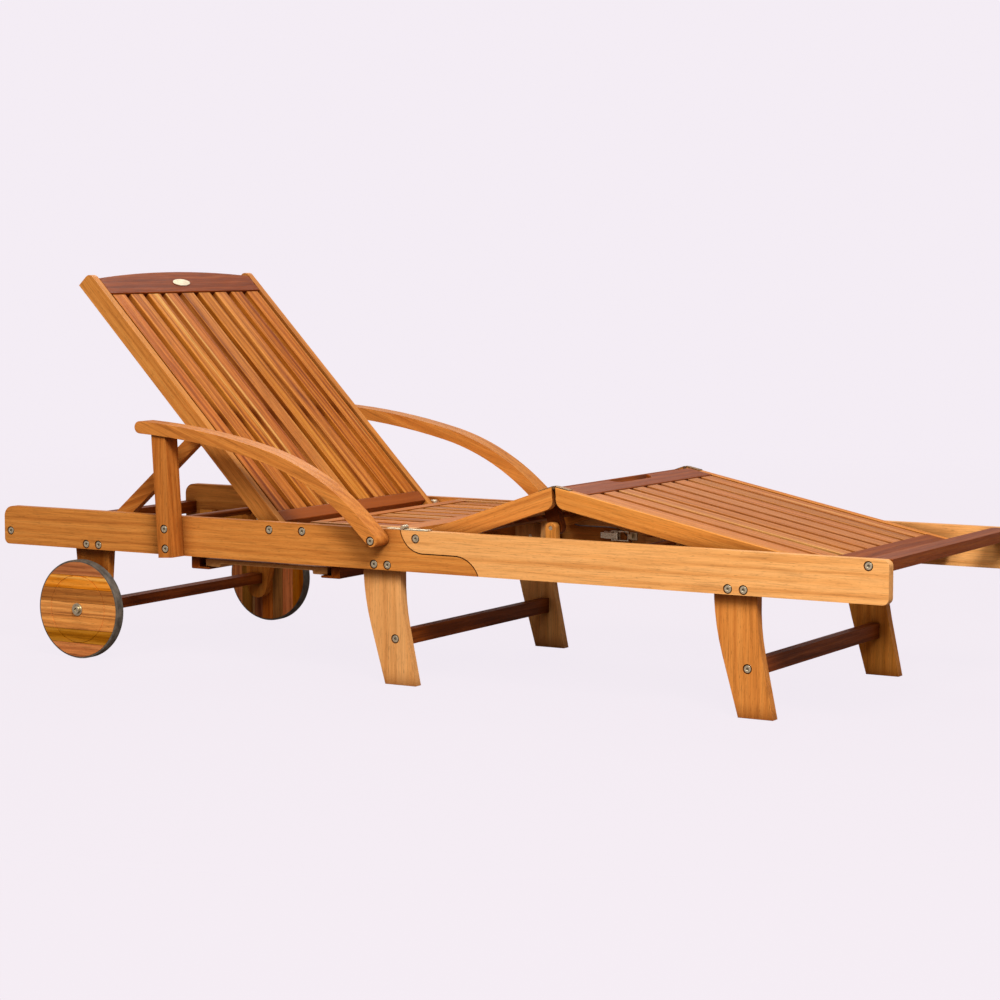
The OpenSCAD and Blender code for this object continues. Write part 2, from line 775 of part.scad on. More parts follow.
module thigh_stiles() {
    top = thigh_top;
    low = thigh_top - stile_d;
    color(honey) on_thigh() both_sides() difference() {
        upright(stile_y, panel_y) polygon(concat(
            [for (p = knee_end(stile_d)) [knee_s - p[0], top + p[1]]],
            arc(thigh_tail + 18, low + 18, 18, 270, 180, 6),
            arc(thigh_tail + 10, top - 10, 10, 180, 90, 6)));
        across([0, 0], bolt_r + fit_gap, stile_y - 1, panel_y + 1);
    }
}
module thigh_rails() {
    color(umber) on_thigh() translate([0, -stile_y, thigh_top - rail_t]) {
        translate([8, 0, 0]) cube([thigh_low_w, 2 * stile_y, rail_t]);
        translate([knee_s - 12 - thigh_high_w, 0, 0]) cube([thigh_high_w, 2 * stile_y, rail_t]);
    }
}
module thigh_slats() {
    color(russet) on_thigh() translate([0, 0, thigh_top - slat_drop])
        slats(8 + thigh_low_w, knee_s - 12 - thigh_high_w);
}

module knee_prop_cleats() {
    color(umber) on_thigh() both_sides() translate([knee_prop_s, 0, knee_prop_n])
        prop_cleat(thigh_top - rail_t - knee_prop_n);
}

// ---- Knee prop ----

module knee_prop_struts() {
    color(amber) both_sides() translate([knee_prop_pin[0], 0, knee_prop_pin[1]]) rotate([0, -90, 0])
        prop_strut(knee_prop_len, knee_prop_w);
}
module knee_prop_bar() color(russet) across(knee_prop_foot, bar_r, -knee_bar_end, knee_bar_end);
module knee_prop_pins() color(zinc) both_sides() prop_pin(knee_prop_pin);

// ---- Calf panel ----

module calf_stiles() {
    color(honey) on_calf() both_sides() upright(stile_y, panel_y) polygon(concat(
        reversed([for (p = knee_end(stile_d)) [p[0], p[1] - knee_rise]]),
        [[calf_len, -knee_rise]],
        arc(calf_len - 16, -knee_rise - stile_d + 16, 16, 0, -90, 6)));
}
module calf_top_rail() {
    x0 = 8;
    color(russet) on_calf() translate([0, 0, -knee_rise - rail_t]) linear_extrude(rail_t) difference() {
        translate([x0, -stile_y]) square([calf_top_w, 2 * stile_y]);
        translate([x0 - 1, -grip_w / 2 + grip_d]) square([grip_d + 1, grip_w - 2 * grip_d]);
        for (s = [-1, 1]) translate([x0, s * (grip_w / 2 - grip_d)]) circle(r = grip_d);
    }
}
module calf_bottom_rail() {
    color(russet) on_calf() translate([calf_len - calf_bottom_w - 4, -stile_y, -knee_rise - rail_t])
        cube([calf_bottom_w, 2 * stile_y, rail_t]);
}
module calf_slats() {
    color(amber) on_calf() translate([0, 0, -knee_rise - slat_drop])
        slats(8 + calf_top_w, calf_len - calf_bottom_w - 4);
}

// One leaf of a knee hinge, drawn on the left stile with X running away from the axis
module knee_leaf(knuckles) {
    mid = (stile_y + panel_y) / 2;
    difference() {
        union() {
            translate([knee_r + 0.4, mid - knee_leaf_w / 2, -knee_rise])
                cube([knee_leaf_l, knee_leaf_w, knee_leaf_t]);
            for (k = knuckles) {
                across([0, 0], knee_r, mid + k - 2.4, mid + k + 2.4);
                translate([0.8, mid + k - 2.4, -knee_rise]) cube([4, 4.8, knee_leaf_t]);
            }
        }
        across([0, 0], 1.5 + fit_gap, mid - knee_leaf_w, mid + knee_leaf_w);
    }
}
module knee_hinge_thigh_leaves() {
    color(brass) on_thigh() translate([knee_s, 0, knee_n]) mirror([1, 0, 0]) both_sides() {
        knee_leaf([-5, 5]);
        across([0, 0], 1.5, (stile_y + panel_y) / 2 - 8, (stile_y + panel_y) / 2 + 8);
    }
}
module knee_hinge_calf_leaves() color(brass) on_calf() both_sides() knee_leaf([0]);

// ---- Tray ----

module tray() {
    z0 = runner_z0 + runner_ledge + side_gap;
    color(honey) union() {
        for (x = [tray_x0, tray_x1 - tray_batten_w])
            translate([x, -tray_len / 2, z0]) cube([tray_batten_w, tray_len, tray_batten_h]);
        translate([tray_x0 + tray_batten_w, -tray_len / 2, z0 + tray_batten_h - tray_t])
            cube([tray_x1 - tray_x0 - 2 * tray_batten_w, tray_len, tray_t]);
    }
}

// ---- Wheels ----

module wheel_disc() {
    p = [wheel_x, wheel_r];
    groove_r = 71;
    color(amber) difference() {
        across(p, wheel_r - tyre_t, wheel_in_y, wheel_out_y);
        across(p, axle_r + fit_gap, wheel_in_y - 1, wheel_out_y + 1);
        difference() {
            across(p, groove_r, wheel_out_y - 1.2, wheel_out_y + 1);
            across(p, groove_r - 2.5, wheel_out_y - 2, wheel_out_y + 2);
        }
    }
}
module wheel_disc_left() wheel_disc();
module wheel_disc_right() mirror([0, 1, 0]) wheel_disc();
module tyre() {
    color(rubber) translate([wheel_x, wheel_in_y, wheel_r]) rotate([-90, 0, 0]) rotate_extrude()
        polygon([[wheel_r - tyre_t, 1], [wheel_r - 1, 1], [wheel_r, 4], [wheel_r, wheel_t - 4],
            [wheel_r - 1, wheel_t - 1], [wheel_r - tyre_t, wheel_t - 1]]);
}
module tyre_left() tyre();
module tyre_right() mirror([0, 1, 0]) tyre();

rear_rail_right();
rear_rail_left();
head_cross_bar();
wheel_legs();
axle_bar();
axle_bolts();
middle_legs();
middle_stretcher();
arm_posts();
armrest_right();
armrest_left();
back_racks();
seat_stiles();
seat_rails();
seat_slats();
seat_corner_blocks();
tray_runners();
rear_bolts();
fold_hinge_rear_leaves();
latch_bases();
front_rail_right();
front_rail_left();
foot_cross_rail();
front_legs();
front_stretcher();
front_bolts();
fold_hinge_front_leaves();
latch_strikes();
knee_racks();
back_stiles();
crest_rail();
back_cross_rails();
back_slats();
badge();
back_prop_cleats();
back_prop_struts();
back_prop_bar();
back_prop_pins();
thigh_stiles();
thigh_rails();
thigh_slats();
knee_hinge_thigh_leaves();
knee_prop_cleats();
knee_prop_struts();
knee_prop_bar();
knee_prop_pins();
calf_stiles();
calf_top_rail();
calf_bottom_rail();
calf_slats();
knee_hinge_calf_leaves();
tray();
wheel_disc_right();
wheel_disc_left();
tyre_right();
tyre_left();
latch_lever_right();
latch_lever_left();
latch_bail_right();
latch_bail_left();
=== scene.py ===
"""Reclining wooden sun lounger: oiled acacia boards, zinc bolts, brass hinges and rubber-tyred wheels."""
import math
from collections import namedtuple

import bmesh
import bpy
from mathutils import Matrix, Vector


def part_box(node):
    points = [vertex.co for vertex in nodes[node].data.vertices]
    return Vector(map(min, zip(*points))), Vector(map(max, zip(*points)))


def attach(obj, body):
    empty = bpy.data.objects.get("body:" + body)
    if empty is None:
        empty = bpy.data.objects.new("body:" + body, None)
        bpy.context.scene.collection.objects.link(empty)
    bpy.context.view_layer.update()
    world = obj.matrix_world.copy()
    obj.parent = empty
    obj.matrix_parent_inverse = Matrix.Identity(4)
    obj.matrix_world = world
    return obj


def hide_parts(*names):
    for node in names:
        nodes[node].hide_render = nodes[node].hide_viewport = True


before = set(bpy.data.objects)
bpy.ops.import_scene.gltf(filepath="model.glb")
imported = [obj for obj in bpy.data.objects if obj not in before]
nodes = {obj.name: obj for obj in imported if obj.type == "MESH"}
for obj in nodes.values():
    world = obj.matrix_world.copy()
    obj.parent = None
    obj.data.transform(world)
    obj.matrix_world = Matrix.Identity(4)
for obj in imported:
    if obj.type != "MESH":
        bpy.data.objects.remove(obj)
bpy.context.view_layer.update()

# Slopes of the panels, in degrees, as the CAD holds them, and the mean slope of the curved arms
BACK_ANGLE = 46.0
THIGH_ANGLE = 19.2
CALF_ANGLE = 11.7
ARM_ANGLE = 20.0

# Turns of object space, in degrees, that bring the grain along X of the texture
GRAIN = {
    "x": (0, 0, 0),
    "y": (0, 0, -90),
    "z": (0, 90, 0),
    "back": (0, -BACK_ANGLE, 0),
    "thigh": (0, THIGH_ANGLE, 0),
    "calf": (0, -CALF_ANGLE, 0),
    "arm": (0, -ARM_ANGLE, 0),
}

# A tone of acacia: its pale, main and dark wood as linear colours, the strength of its figure, how much its
# boards differ, and its share of pale sapwood
Tone = namedtuple("Tone", "pale main dark figure variety sap")
TONES = {
    "honey": Tone((0.87, 0.46, 0.180), (0.80, 0.385, 0.130), (0.60, 0.24, 0.065), 0.34, 0.05, 0.0),
    "amber": Tone((0.78, 0.33, 0.075), (0.64, 0.232, 0.042), (0.42, 0.125, 0.019), 0.48, 0.08, 0.0),
    "chestnut": Tone((0.70, 0.27, 0.055), (0.56, 0.175, 0.026), (0.34, 0.085, 0.010), 0.60, 0.08, 0.0),
    "slat": Tone((0.70, 0.27, 0.052), (0.53, 0.160, 0.023), (0.25, 0.055, 0.007), 1.05, 0.14, 0.22),
    "blush": Tone((0.66, 0.28, 0.090), (0.55, 0.195, 0.052), (0.36, 0.11, 0.026), 0.8, 0.10, 0.08),
    "stave": Tone((0.74, 0.30, 0.070), (0.56, 0.18, 0.030), (0.22, 0.045, 0.006), 0.70, 0.50, 0.12),
    "russet": Tone((0.34, 0.085, 0.012), (0.235, 0.045, 0.004), (0.15, 0.026, 0.003), 0.9, 0.10, 0.0),
    "umber": Tone((0.30, 0.075, 0.012), (0.21, 0.043, 0.005), (0.11, 0.020, 0.002), 1.0, 0.10, 0.0),
}
SAPWOOD = (0.84, 0.48, 0.14)

# Layers of the wood's grain: features a metre along and across it, and the settings of their noise
LAYERS = {
    "bands": {"along": 2.2, "across": 75.0, "detail": 5.0, "distortion": 0.5},
    "streaks": {"along": 13.0, "across": 380.0, "detail": 4.0, "roughness": 0.7},
    "fibres": {"along": 16.0, "across": 800.0, "detail": 3.0},
    "pores": {"along": 70.0, "across": 1100.0, "detail": 2.0},
    "sap": {"along": 0.6, "across": 30.0, "detail": 2.0, "distortion": 0.6},
}
# How the growth rings' space is scaled along the grain, and the share of them that is added to the bands
RING_ALONG = 0.10
RING_SHARE = 0.22
RINGS = {"Scale": 24.0, "Distortion": 5.0, "Detail": 3.0, "Detail Scale": 1.6, "Detail Roughness": 0.6}
# Where the main colour sits in the figure, and how far the pale and dark ones are from it at strength 1
FIGURE_MIDDLE = 0.60
FIGURE_SPREAD = 0.26
# The farthest that a board is moved in the texture, in metres, and the step between the seeds of two nodes
BOARD_SHIFT = 9.0
SEED_STEP = 3.17

# Painted shade: what is left of the main colour deep in a gap, darker and redder where shade falls there
PAINTED_GAP_SHADE = (0.24, 0.15, 0.09)
# How far a gap's walls may be, in metres, and the share of open air deep in it and outside it, for the
# painted shade in gaps
WOOD_PAINTED_SHADE = {"reach": 0.035, "deep": 0.42, "open_air": 0.90}
METAL_PAINTED_SHADE = {"reach": 0.004, "deep": 0.45, "open_air": 0.85}

# The largest part of a unit normal where the pale edges begin and where they are full, and how pale full
# edges are; the paleness is partly wear and partly a painted highlight
FLAT_NORMAL = 0.985
EDGE_NORMAL = 0.88
EDGE_WEAR_AND_HIGHLIGHT = 0.7

# Roughness of the oiled wood from its low to its high fibres, and its faint warm gloss
WOOD_ROUGHNESS = (0.54, 0.38)
WOOD_SPECULAR = 0.16
WOOD_GLOSS = (1.0, 0.72, 0.48, 1.0)

# Node to tone and grain direction
BOARDS = {
    "rear_rail_right": ("amber", "x"),
    "rear_rail_left": ("amber", "x"),
    "front_rail_right": ("honey", "x"),
    "front_rail_left": ("honey", "x"),
    "head_cross_bar": ("russet", "y"),
    "foot_cross_rail": ("russet", "y"),
    "wheel_legs": ("chestnut", "z"),
    "middle_legs": ("honey", "z"),
    "front_legs": ("amber", "z"),
    "axle_bar": ("umber", "y"),
    "middle_stretcher": ("umber", "y"),
    "front_stretcher": ("umber", "y"),
    "arm_posts": ("chestnut", "z"),
    "armrest_right": ("amber", "arm"),
    "armrest_left": ("amber", "arm"),
    "back_racks": ("amber", "x"),
    "knee_racks": ("honey", "x"),
    "seat_stiles": ("honey", "x"),
    "seat_rails": ("chestnut", "y"),
    "seat_slats": ("slat", "x"),
    "seat_corner_blocks": ("honey", "z"),
    "tray_runners": ("russet", "y"),
    "tray": ("honey", "y"),
    "back_stiles": ("amber", "back"),
    "back_slats": ("slat", "back"),
    "crest_rail": ("russet", "y"),
    "back_cross_rails": ("russet", "y"),
    "back_prop_cleats": ("umber", "back"),
    "back_prop_struts": ("chestnut", "thigh"),
    "back_prop_bar": ("russet", "y"),
    "thigh_stiles": ("amber", "thigh"),
    "thigh_slats": ("slat", "thigh"),
    "thigh_rails": ("russet", "y"),
    "knee_prop_cleats": ("umber", "thigh"),
    "knee_prop_struts": ("amber", "z"),
    "knee_prop_bar": ("russet", "y"),
    "calf_stiles": ("amber", "calf"),
    "calf_slats": ("blush", "calf"),
    "calf_top_rail": ("russet", "y"),
    "calf_bottom_rail": ("russet", "y"),
}

# Boards with curved sides, where a leaning normal isn't an edge, so they get no pale edges of wear and
# painted highlight
CURVED = ("armrest_right", "armrest_left", "middle_legs", "front_legs", "crest_rail",
          "wheel_staves_right", "wheel_staves_left")

# Edge radius in metres of the boards with a word in their name, and of all others
EDGES = {
    "rear_rail": 0.003,
    "front_rail": 0.003,
    "armrest": 0.006,
    "arm_posts": 0.003,
    "back_slats": 0.0016,
    "slats": 0.0010,
}
EDGE = 0.0022

# A metal's linear colour, its roughness, and how much of the colour is left in its dull patches and in the
# painted shade of its gaps
Finish = namedtuple("Finish", "colour roughness patches gaps")
FINISHES = {
    "zinc_plate": Finish((0.90, 0.80, 0.58), 0.36, 0.75, 0.08),
    "latch_plate": Finish((1.0, 0.92, 0.74), 0.24, 0.8, 0.5),
    "brass_plate": Finish((0.94, 0.84, 0.60), 0.36, 0.8, 0.08),
    "aged_bronze": Finish((0.34, 0.20, 0.09), 0.48, 0.7, 0.08),
}
# Finish, edge radius in metres, and the nodes that have them
METALS = (
    ("zinc_plate", 0.0004, ("axle_bolts", "rear_bolts", "front_bolts", "back_prop_pins", "knee_prop_pins",
                            "badge")),
    ("latch_plate", 0.0012, ("latch_bases", "latch_lever_right", "latch_lever_left", "latch_bail_right",
                             "latch_bail_left")),
    ("brass_plate", 0.0004, ("fold_hinge_rear_leaves", "fold_hinge_front_leaves", "latch_strikes")),
    ("aged_bronze", 0.0004, ("knee_hinge_thigh_leaves", "knee_hinge_calf_leaves")),
)

# Points closer than this are one point, in metres, and faces that lean less than this are one flat
WELD = 1e-5
FLAT = math.radians(0.6)
# Edges sharper than this are rounded
SHARP = math.radians(32)

# Each wheel is glued of this many staves, with fine softened joints between them
STAVES = 7
STAVE_GAP = 0.0003
STAVE_EDGE = 0.0007
# The axis across each wheel's staves, the way their grain runs, and the seed of their wood
WHEELS = {"right": (2, "x", 83.0), "left": (0, "z", 61.0)}

# The surroundings as the camera sees them, the share that a gloss mirrors, and the light that they give
BACKDROP = (0.905, 0.845, 0.91, 1.0)
MIRRORED = 0.40
ROOM_COLOUR = (1.0, 0.74, 0.50, 1.0)
ROOM_STRENGTH = 0.18

# The floor is a disc that fades out between two distances from the lounger's middle, in metres
FLOOR_SIDES = 64
FLOOR_RADIUS = 14.0
FLOOR_DROP = 0.001
FLOOR_FADE = (1.6, 6.0)
FLOOR_COLOUR = (0.22, 0.18, 0.16, 1.0)
# How much of the floor the camera sees as backdrop, and how bright, so that shadows stay faint
FLOOR_GLOW = 0.9
FLOOR_GLOW_STRENGTH = 1.07

# Name, place, size and power of the soft lamps, and the point that they face
LAMPS = (
    ("key", (2.8, -3.2, 3.7), 1.7, 300.0),
    ("front", (0.4, -4.4, 3.2), 1.8, 75.0),
    ("rim", (-1.6, 2.8, 3.6), 1.6, 65.0),
)
LAMP_COLOUR = (1.0, 0.965, 0.91)
LAMP_TARGET = (0, 0, 0.3)

# Where the camera stands, and how many degrees it looks down and is turned
CAMERA_PLACE = (2.8228, -4.7485, 0.8491)
CAMERA_DIP = 5.22
CAMERA_TURN = 30.58


def put(tree, kind, inputs=None, **settings):
    """A new shader node, with its settings, and with its inputs linked or set."""
    made = tree.nodes.new(kind)
    for name, value in settings.items():
        setattr(made, name, value)
    for socket, value in (inputs or {}).items():
        if isinstance(value, bpy.types.NodeSocket):
            tree.links.new(value, made.inputs[socket])
        else:
            made.inputs[socket].default_value = value
    return made


def ramp(tree, factor, *stops):
    """A colour ramp with (position, colour) stops."""
    made = put(tree, "ShaderNodeValToRGB", {"Fac": factor})
    elements = made.color_ramp.elements
    while len(elements) < len(stops):
        elements.new(0.5)
    for element, (place, colour) in zip(elements, stops):
        element.position = place
        element.color = (*colour, 1.0)
    return made.outputs["Color"]


def grey_ramp(tree, factor, *stops):
    """A ramp with (position, brightness) stops."""
    return ramp(tree, factor, *[(place, (value, value, value)) for place, value in stops])


def math_node(tree, operation, a, b):
    return put(tree, "ShaderNodeMath", {0: a, 1: b}, operation=operation).outputs[0]


def multiply_add(tree, a, b, c):
    return put(tree, "ShaderNodeMath", {0: a, 1: b, 2: c}, operation="MULTIPLY_ADD").outputs[0]


def map_range(tree, value, **ends):
    """A value carried from one range to another, with ends such as From_Min."""
    inputs = {end.replace("_", " "): number for end, number in ends.items()}
    return put(tree, "ShaderNodeMapRange", {"Value": value, **inputs}).outputs[0]


def mix_colour(tree, factor, a, b, blend="MIX"):
    """Two colours mixed, each a socket or a linear colour. A Mix node's colour sockets go by number."""
    a, b = (c if isinstance(c, bpy.types.NodeSocket) else (*c, 1.0) for c in (a, b))
    return put(tree, "ShaderNodeMix", {"Factor": factor, 6: a, 7: b}, data_type="RGBA",
               blend_type=blend).outputs[2]


def new_material(name):
    """A material with a bare Principled shader; returns it, its tree and the shader."""
    material = bpy.data.materials.new(name)
    material.use_nodes = True
    tree = material.node_tree
    tree.nodes.clear()
    shader = put(tree, "ShaderNodeBsdfPrincipled")
    put(tree, "ShaderNodeOutputMaterial", {"Surface": shader.outputs[0]})
    return material, tree, shader


def stretched(tree, coords, along, across, detail, distortion=0.0, roughness=0.55):
    """Noise drawn out along the grain, with that many features a metre along and across it."""
    scaled = put(tree, "ShaderNodeVectorMath", {0: coords, 1: (along, across, across)}, operation="MULTIPLY")
    noise = put(tree, "ShaderNodeTexNoise", {"Vector": scaled.outputs[0], "Scale": 1.0, "Detail": detail,
                                             "Roughness": roughness, "Distortion": distortion})
    return noise.outputs["Fac"]


def relief(tree, shader, height, strength, distance):
    """Gives a shader a bump, with its depth in metres."""
    bump = put(tree, "ShaderNodeBump", {"Height": height, "Strength": strength, "Distance": distance})
    tree.links.new(bump.outputs[0], shader.inputs["Normal"])


def worn_highlit_edges(tree, turn):
    """How far a face leans from all three axes of its board: 0 on its flats, 1 on its rounded edges, which
    are paled partly by wear and partly by a painted highlight.
    """
    normal = put(tree, "ShaderNodeNewGeometry").outputs["Normal"]
    own = put(tree, "ShaderNodeVectorTransform", {"Vector": normal}, vector_type="NORMAL",
              convert_from="WORLD", convert_to="OBJECT")
    turned = put(tree, "ShaderNodeVectorRotate", {"Vector": own.outputs[0], "Rotation": turn},
                 rotation_type="EULER_XYZ")
    size = put(tree, "ShaderNodeVectorMath", {0: turned.outputs[0]}, operation="ABSOLUTE")
    parts = put(tree, "ShaderNodeSeparateXYZ", {0: size.outputs[0]}).outputs
    most = math_node(tree, "MAXIMUM", math_node(tree, "MAXIMUM", parts[0], parts[1]), parts[2])
    return map_range(tree, most, From_Min=FLAT_NORMAL, From_Max=EDGE_NORMAL)


def painted_crevice_shade(tree, reach, deep, open_air):
    """How deep a point sits in a gap or corner, the mask of painted shade: 1 where little open air is in
    reach, 0 on open faces.
    """
    air = put(tree, "ShaderNodeAmbientOcclusion", {"Distance": reach}, samples=4)
    return map_range(tree, air.outputs["AO"], From_Min=open_air, From_Max=deep)


def figured(tree, coords, look):
    """The colour of a tone's grain, and its fibres and open pores."""
    layers = {key: stretched(tree, coords, **settings) for key, settings in LAYERS.items()}

    # Growth rings, seen as long arches where a board cuts them at a slant, and bands beside them
    bent = put(tree, "ShaderNodeVectorMath", {0: coords, 1: (RING_ALONG, 1.0, 1.0)}, operation="MULTIPLY")
    rings = put(tree, "ShaderNodeTexWave", {"Vector": bent.outputs[0], **RINGS}, wave_type="RINGS",
                rings_direction="X").outputs["Fac"]
    spread = FIGURE_SPREAD / look.figure
    colour = ramp(tree, multiply_add(tree, rings, RING_SHARE, layers["bands"]),
                  (FIGURE_MIDDLE - spread, look.pale), (FIGURE_MIDDLE, look.main),
                  (FIGURE_MIDDLE + spread, look.dark))
    if look.sap:
        sap = grey_ramp(tree, layers["sap"], (0.66 - 0.16 * look.sap, 0.0), (0.72 - 0.14 * look.sap, 0.8))
        colour = mix_colour(tree, sap, colour, SAPWOOD)

    streaks = grey_ramp(tree, layers["streaks"], (0.35, 0.80 - 0.22 * look.figure), (0.47, 0.98),
                        (0.66, 1.08))
    fibres = grey_ramp(tree, layers["fibres"], (0.30, 0.78), (0.62, 1.06))
    pores = grey_ramp(tree, layers["pores"], (0.31, 0.35), (0.39, 1.0))
    for strength, mask in ((0.85, streaks), (0.7, fibres), (0.6, pores)):
        colour = mix_colour(tree, strength, colour, mask, "MULTIPLY")
    return colour, layers["fibres"], pores


def board_tone(tree, colour, chance, variety):
    """Gives every board a hue, saturation and brightness of its own."""
    parts = put(tree, "ShaderNodeSeparateColor", {"Color": chance}).outputs

    def between(channel, low, high):
        return map_range(tree, parts[channel], To_Min=low, To_Max=high)

    return put(tree, "ShaderNodeHueSaturation", {
        "Hue": between("Red", 0.5 - 0.025 * variety, 0.5 + 0.03 * variety),
        "Saturation": between("Green", 1.0 - 0.15 * variety, 1.0 + 0.15 * variety),
        "Value": between("Blue", 1.0 - variety, 1.0 + variety), "Color": colour}).outputs[0]


def wood(name, tone, grain, seed):
    """Oiled acacia: growth figure, sapwood streaks, open pores, paler edges that are partly wear and partly
    painted highlight, painted shade in its gaps, and a tone for each board.
    """
    look = TONES[tone]
    material, tree, shader = new_material("wood_" + name)
    board = put(tree, "ShaderNodeAttribute", attribute_name="board").outputs["Fac"]
    number = math_node(tree, "ADD", math_node(tree, "ROUND", board, 0.0), seed)
    chance = put(tree, "ShaderNodeTexWhiteNoise", {"W": number}, noise_dimensions="1D").outputs["Color"]
    turn = [math.radians(angle) for angle in GRAIN[grain]]
    space = put(tree, "ShaderNodeTexCoord").outputs["Object"]
    turned = put(tree, "ShaderNodeMapping", {"Vector": space, "Rotation": turn})
    shift = put(tree, "ShaderNodeVectorMath", {0: chance, "Scale": BOARD_SHIFT}, operation="SCALE")
    coords = put(tree, "ShaderNodeVectorMath", {0: turned.outputs[0], 1: shift.outputs[0]}).outputs[0]

    colour, fibres, pores = figured(tree, coords, look)
    colour = board_tone(tree, colour, chance, look.variety)
    # Paler rounded edges on straight boards: partly wear, partly a painted highlight
    if name not in CURVED:
        wear_and_highlight = math_node(tree, "MULTIPLY", worn_highlit_edges(tree, turn), EDGE_WEAR_AND_HIGHLIGHT)
        colour = mix_colour(tree, wear_and_highlight, colour, look.pale)
    # Painted shade, darker and redder, deep in gaps and corners
    if tone != "stave":
        shade = [c * share for c, share in zip(look.main, PAINTED_GAP_SHADE)]
        colour = mix_colour(tree, painted_crevice_shade(tree, **WOOD_PAINTED_SHADE), colour, shade)
    tree.links.new(colour, shader.inputs["Base Color"])

    low, high = WOOD_ROUGHNESS
    rough = map_range(tree, fibres, From_Min=0.3, From_Max=0.7, To_Min=low, To_Max=high)
    tree.links.new(rough, shader.inputs["Roughness"])
    relief(tree, shader, multiply_add(tree, pores, 0.7, fibres), 0.35, 0.0006)
    shader.inputs["Specular IOR Level"].default_value = WOOD_SPECULAR
    shader.inputs["Specular Tint"].default_value = WOOD_GLOSS
    return material


def metal(name):
    """Plated or brushed metal with fine scratches, dull patches and painted shade in its gaps."""
    finish = FINISHES[name]
    material, tree, shader = new_material(name)
    space = put(tree, "ShaderNodeTexCoord").outputs["Object"]
    scratches = stretched(tree, space, 300.0, 2600.0, detail=3.0)
    patches = stretched(tree, space, 130.0, 130.0, detail=3.0)
    shade = ramp(tree, patches, (0.3, [c * finish.patches for c in finish.colour]), (0.7, finish.colour))
    # Painted shade in the gaps and recesses of the metal
    shade = mix_colour(tree, painted_crevice_shade(tree, **METAL_PAINTED_SHADE), shade, [c * finish.gaps for c in finish.colour])
    tree.links.new(shade, shader.inputs["Base Color"])
    rough = map_range(tree, scratches, To_Min=finish.roughness - 0.1, To_Max=finish.roughness + 0.14)
    tree.links.new(rough, shader.inputs["Roughness"])
    relief(tree, shader, scratches, 0.15, 0.0002)
    shader.inputs["Metallic"].default_value = 1.0
    return material


def rubber():
    """Matt black rubber with a fine moulded grain and pale scuffs."""
    material, tree, shader = new_material("tyre_rubber")
    space = put(tree, "ShaderNodeTexCoord").outputs["Object"]
    scuffs = stretched(tree, space, 60.0, 60.0, detail=6.0)
    shade = ramp(tree, scuffs, (0.35, (0.065, 0.055, 0.045)), (0.70, (0.17, 0.145, 0.12)))
    tree.links.new(shade, shader.inputs["Base Color"])
    shader.inputs["Roughness"].default_value = 0.62
    relief(tree, shader, stretched(tree, space, 1500.0, 1500.0, detail=2.0), 0.25, 0.0003)
    return material


def dress(piece, material):
    """Gives a piece one material in every slot."""
    slots = piece.data.materials
    if not slots:
        slots.append(material)
    for i in range(len(slots)):
        slots[i] = material


def board_numbers():
    """A node group that numbers the loose pieces of a mesh, so that each board gets its own wood."""
    group = bpy.data.node_groups.new("board_numbers", "GeometryNodeTree")
    for way in ("INPUT", "OUTPUT"):
        group.interface.new_socket("Geometry", in_out=way, socket_type="NodeSocketGeometry")
    start = group.nodes.new("NodeGroupInput")
    island = group.nodes.new("GeometryNodeInputMeshIsland")
    store = group.nodes.new("GeometryNodeStoreNamedAttribute")
    store.data_type = "FLOAT"
    store.domain = "POINT"
    store.inputs["Name"].default_value = "board"
    end = group.nodes.new("NodeGroupOutput")
    group.links.new(start.outputs[0], store.inputs["Geometry"])
    group.links.new(island.outputs["Island Index"], store.inputs["Value"])
    group.links.new(store.outputs["Geometry"], end.inputs[0])
    return group


def soften(piece, radius, segments=2):
    """Numbers a piece's boards, rounds its edges by modifiers, and shades it smoothly."""
    weld = piece.modifiers.new("weld", "WELD")
    weld.merge_threshold = WELD
    numbers = piece.modifiers.new("boards", "NODES")
    numbers.node_group = BOARD_NUMBERS
    flats = piece.modifiers.new("flats", "DECIMATE")
    flats.decimate_type = "DISSOLVE"
    flats.angle_limit = FLAT
    bevel = piece.modifiers.new("edges", "BEVEL")
    bevel.width = radius
    bevel.segments = segments
    bevel.limit_method = "ANGLE"
    bevel.angle_limit = SHARP
    bevel.use_clamp_overlap = True
    bevel.miter_outer = "MITER_ARC"
    for polygon in piece.data.polygons:
        polygon.use_smooth = True
    normals = piece.modifiers.new("normals", "WEIGHTED_NORMAL")
    normals.weight = 90
    normals.keep_sharp = True


def finish_boards():
    for number, (name, (tone, grain)) in enumerate(BOARDS.items()):
        dress(nodes[name], wood(name, tone, grain, number * SEED_STEP))
        soften(nodes[name], next((radius for word, radius in EDGES.items() if word in name), EDGE))


def finish_metal():
    for finish, radius, names in METALS:
        plate = metal(finish)
        for name in names:
            dress(nodes[name], plate)
            soften(nodes[name], radius)


def finish_tyres():
    tyre = rubber()
    for name in ("tyre_right", "tyre_left"):
        dress(nodes[name], tyre)


def sawn_stave(source, axis, start, end):
    """The stretch of a mesh between two planes across an axis, closed at both cuts."""
    stave = bmesh.new()
    stave.from_mesh(source)
    bmesh.ops.remove_doubles(stave, verts=stave.verts, dist=WELD)
    for place, outward in ((start, -1), (end, 1)):
        point = Vector((0, 0, 0))
        point[axis] = place
        normal = Vector((0, 0, 0))
        normal[axis] = outward
        cut = bmesh.ops.bisect_plane(stave, geom=stave.verts[:] + stave.edges[:] + stave.faces[:],
                                     plane_co=point, plane_no=normal, clear_outer=True)
        edges = [e for e in cut["geom_cut"] if isinstance(e, bmesh.types.BMEdge)]
        if edges:
            bmesh.ops.triangle_fill(stave, edges=edges, use_beauty=True)
    mesh = bpy.data.meshes.new("stave")
    stave.to_mesh(mesh)
    stave.free()
    return mesh


